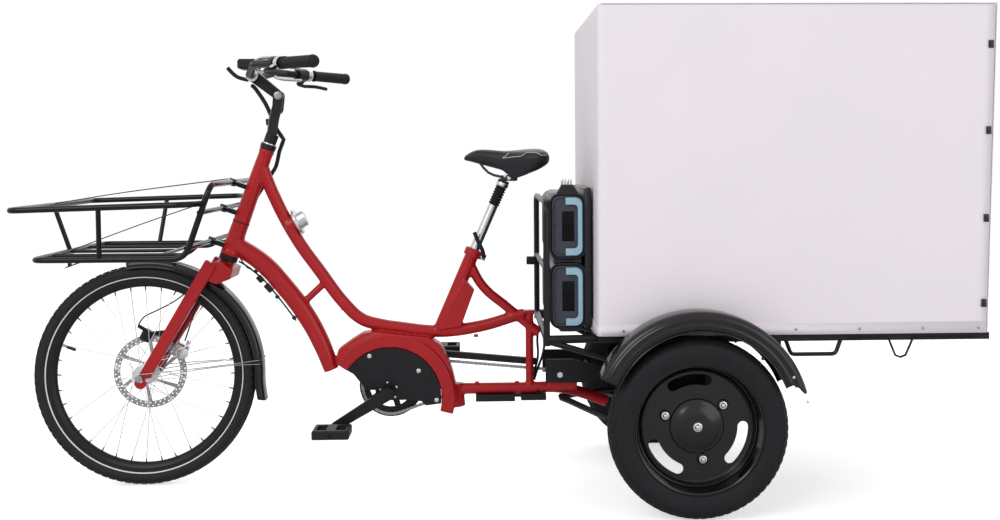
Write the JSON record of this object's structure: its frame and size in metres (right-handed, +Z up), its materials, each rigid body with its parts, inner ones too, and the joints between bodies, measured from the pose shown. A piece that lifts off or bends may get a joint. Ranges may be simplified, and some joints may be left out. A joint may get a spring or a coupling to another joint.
{
  "type": "electric cargo trike",
  "caption": "Electric cargo trike with a step-through frame, front basket, rack batteries and a tarpaulin-covered cargo box between the small rear wheels.",
  "frame": {"origin": "centre of the bounding box at ground level", "axes": "-X towards the front wheel, +X towards the cargo box, -Y the rider's left, +Z up"},
  "size_m": [2.5488, 0.913, 1.2873],
  "materials": {
    "red_paint": "gloss enamel",
    "black_paint": "satin powder coat",
    "black_plastic": "moulded, matte",
    "black_rubber": "matte",
    "tyre_rubber": "matte",
    "bright_metal": "polished",
    "bright_steel": "brushed",
    "dark_metal": "satin dark coat",
    "grey_case": "moulded, satin",
    "turquoise_plastic": "moulded, satin",
    "pale_cloth": "coated tarpaulin",
    "saddle_cover": "matte"
  },
  "bodies": {
    "frame": {"main_frame": "red_paint", "headset_lower": "black_paint", "headset_upper": "black_paint", "basket": "black_paint", "frame_cables": "black_rubber", "wiring": "black_plastic", "seat_collar": "black_paint", "motor": "dark_metal", "motor_cover": "black_paint", "chain": "dark_metal", "chain_bar": "black_plastic", "chain_guide": "black_plastic", "cargo_frame": "black_paint", "rail_cable": "black_rubber", "deck_panel": "dark_metal", "box_frame": "dark_metal", "tarpaulin": "pale_cloth", "rear_fender_left": "black_paint", "rear_fender_right": "black_paint", "battery_dock": "grey_case"},
    "steering_fork": {"fork": "red_paint", "front_axle": "bright_steel", "lower_caliper": "bright_metal", "upper_caliper": "black_paint", "front_fender": "black_paint", "fender_stay": "bright_steel", "stem_column": "black_paint", "bar_cables": "black_rubber"},
    "front_wheel": {"front_tyre": "tyre_rubber", "front_rim": "black_paint", "front_hub": "bright_metal", "brake_disc": "bright_steel"},
    "bars": {"stem_arm": "black_paint", "handlebar": "black_paint", "grip_left": "black_rubber", "grip_right": "black_rubber", "display": "black_plastic"},
    "lever_left": {"brake_lever_left": "black_plastic"},
    "lever_right": {"brake_lever_right": "black_plastic"},
    "shifter": {"twist_shifter": "dark_metal"},
    "crank": {"crankset": "black_paint"},
    "left_pedal": {"pedal_left": "black_plastic"},
    "right_pedal": {"pedal_right": "black_plastic"},
    "drive_sprocket": {"sprocket": "bright_steel"},
    "wheel_left": {"rear_tyre_left": "tyre_rubber", "rear_wheel_left": "black_paint"},
    "wheel_right": {"rear_tyre_right": "tyre_rubber", "rear_wheel_right": "black_paint"},
    "seat_lower": {"seatpost": "bright_metal", "seat_bellows": "black_rubber"},
    "seat_upper": {"suspension_head": "dark_metal", "saddle": "saddle_cover"},
    "clamp_lever": {"seat_lever": "black_plastic"},
    "upper_battery": {"battery_upper": "grey_case", "battery_handle_upper": "turquoise_plastic"},
    "lower_battery": {"battery_lower": "grey_case", "battery_handle_lower": "turquoise_plastic"},
    "flap": {"rear_flap": "pale_cloth"},
    "dial": {"lock_dial": "bright_metal"}
  },
  "joints": [
    {"name": "steering", "type": "hinge", "parent": "frame", "child": "steering_fork", "pos_m": [-0.7471, 0, 0.612], "axis": [0.3404, 0, 0.9403], "range_deg": [-40, 40]},
    {"name": "front_wheel_spin", "type": "hinge", "parent": "steering_fork", "child": "front_wheel", "pos_m": [-0.9709, 0, 0.3035], "axis": [0, 1, 0], "continuous": true},
    {"name": "stem_tilt", "type": "hinge", "parent": "steering_fork", "child": "bars", "pos_m": [-0.6013, 0, 1.0727], "axis": [0, 1, 0], "range_deg": [-5, 30]},
    {"name": "left_brake_squeeze", "type": "hinge", "parent": "bars", "child": "lever_left", "pos_m": [-0.58823, -0.28818, 1.12043], "axis": [0, 0, 1], "range_deg": [0, 20], "stiffness_Nm_per_rad": 0.6, "springref_deg": -8.59},
    {"name": "right_brake_squeeze", "type": "hinge", "parent": "bars", "child": "lever_right", "pos_m": [-0.58823, 0.28818, 1.12043], "axis": [0, 0, -1], "range_deg": [0, 20], "stiffness_Nm_per_rad": 0.6, "springref_deg": -8.59},
    {"name": "shifter_twist", "type": "hinge", "parent": "bars", "child": "shifter", "pos_m": [-0.57419, 0.24038, 1.14559], "axis": [0.6714, 0.7407, -0.0251], "range_deg": [0, 90]},
    {"name": "crank_spin", "type": "hinge", "parent": "frame", "child": "crank", "pos_m": [-0.2979, 0, 0.256], "axis": [0, 1, 0], "continuous": true},
    {"name": "left_pedal_spin", "type": "hinge", "parent": "crank", "child": "left_pedal", "pos_m": [-0.4419, -0.15, 0.16947], "axis": [0, 1, 0], "continuous": true},
    {"name": "right_pedal_spin", "type": "hinge", "parent": "crank", "child": "right_pedal", "pos_m": [-0.1539, 0.15, 0.34253], "axis": [0, 1, 0], "continuous": true},
    {"name": "sprocket_spin", "type": "hinge", "parent": "frame", "child": "drive_sprocket", "pos_m": [0.4931, 0.05, 0.2255], "axis": [0, 1, 0], "continuous": true},
    {"name": "left_wheel_spin", "type": "hinge", "parent": "frame", "child": "wheel_left", "pos_m": [0.4931, -0.402, 0.2255], "axis": [0, 1, 0], "continuous": true},
    {"name": "right_wheel_spin", "type": "hinge", "parent": "frame", "child": "wheel_right", "pos_m": [0.4931, 0.402, 0.2255], "axis": [0, 1, 0], "continuous": true},
    {"name": "seat_height", "type": "slide", "parent": "frame", "child": "seat_lower", "axis": [0.4004, 0, 0.9164], "range_m": [-0.08, 0.05]},
    {"name": "seat_suspension", "type": "slide", "parent": "seat_lower", "child": "seat_upper", "axis": [0.4004, 0, 0.9164], "range_m": [-0.04, 0], "stiffness_N_per_m": 15000, "springref_m": 0.002, "deforming": ["seat_bellows"]},
    {"name": "clamp_lever_turn", "type": "hinge", "parent": "frame", "child": "clamp_lever", "pos_m": [-0.03446, -0.02, 0.61879], "axis": [0.4004, 0, 0.9164], "range_deg": [0, 120]},
    {"name": "upper_battery_slide", "type": "slide", "parent": "frame", "child": "upper_battery", "axis": [0, -1, 0], "range_m": [0, 0.4]},
    {"name": "lower_battery_slide", "type": "slide", "parent": "frame", "child": "lower_battery", "axis": [0, -1, 0], "range_m": [0, 0.4]},
    {"name": "flap_lift", "type": "hinge", "parent": "frame", "child": "flap", "pos_m": [1.2729, 0, 1.2873], "axis": [0, -1, 0], "range_deg": [0, 100]},
    {"name": "dial_turn", "type": "hinge", "parent": "frame", "child": "dial", "pos_m": [-0.5549, 0, 0.721], "axis": [0.8918, 0, 0.4524], "range_deg": [0, 90]}
  ],
  "couplings": [
    {"joint": "sprocket_spin", "follows": "crank_spin", "ratio": 2.2222}
  ]
}
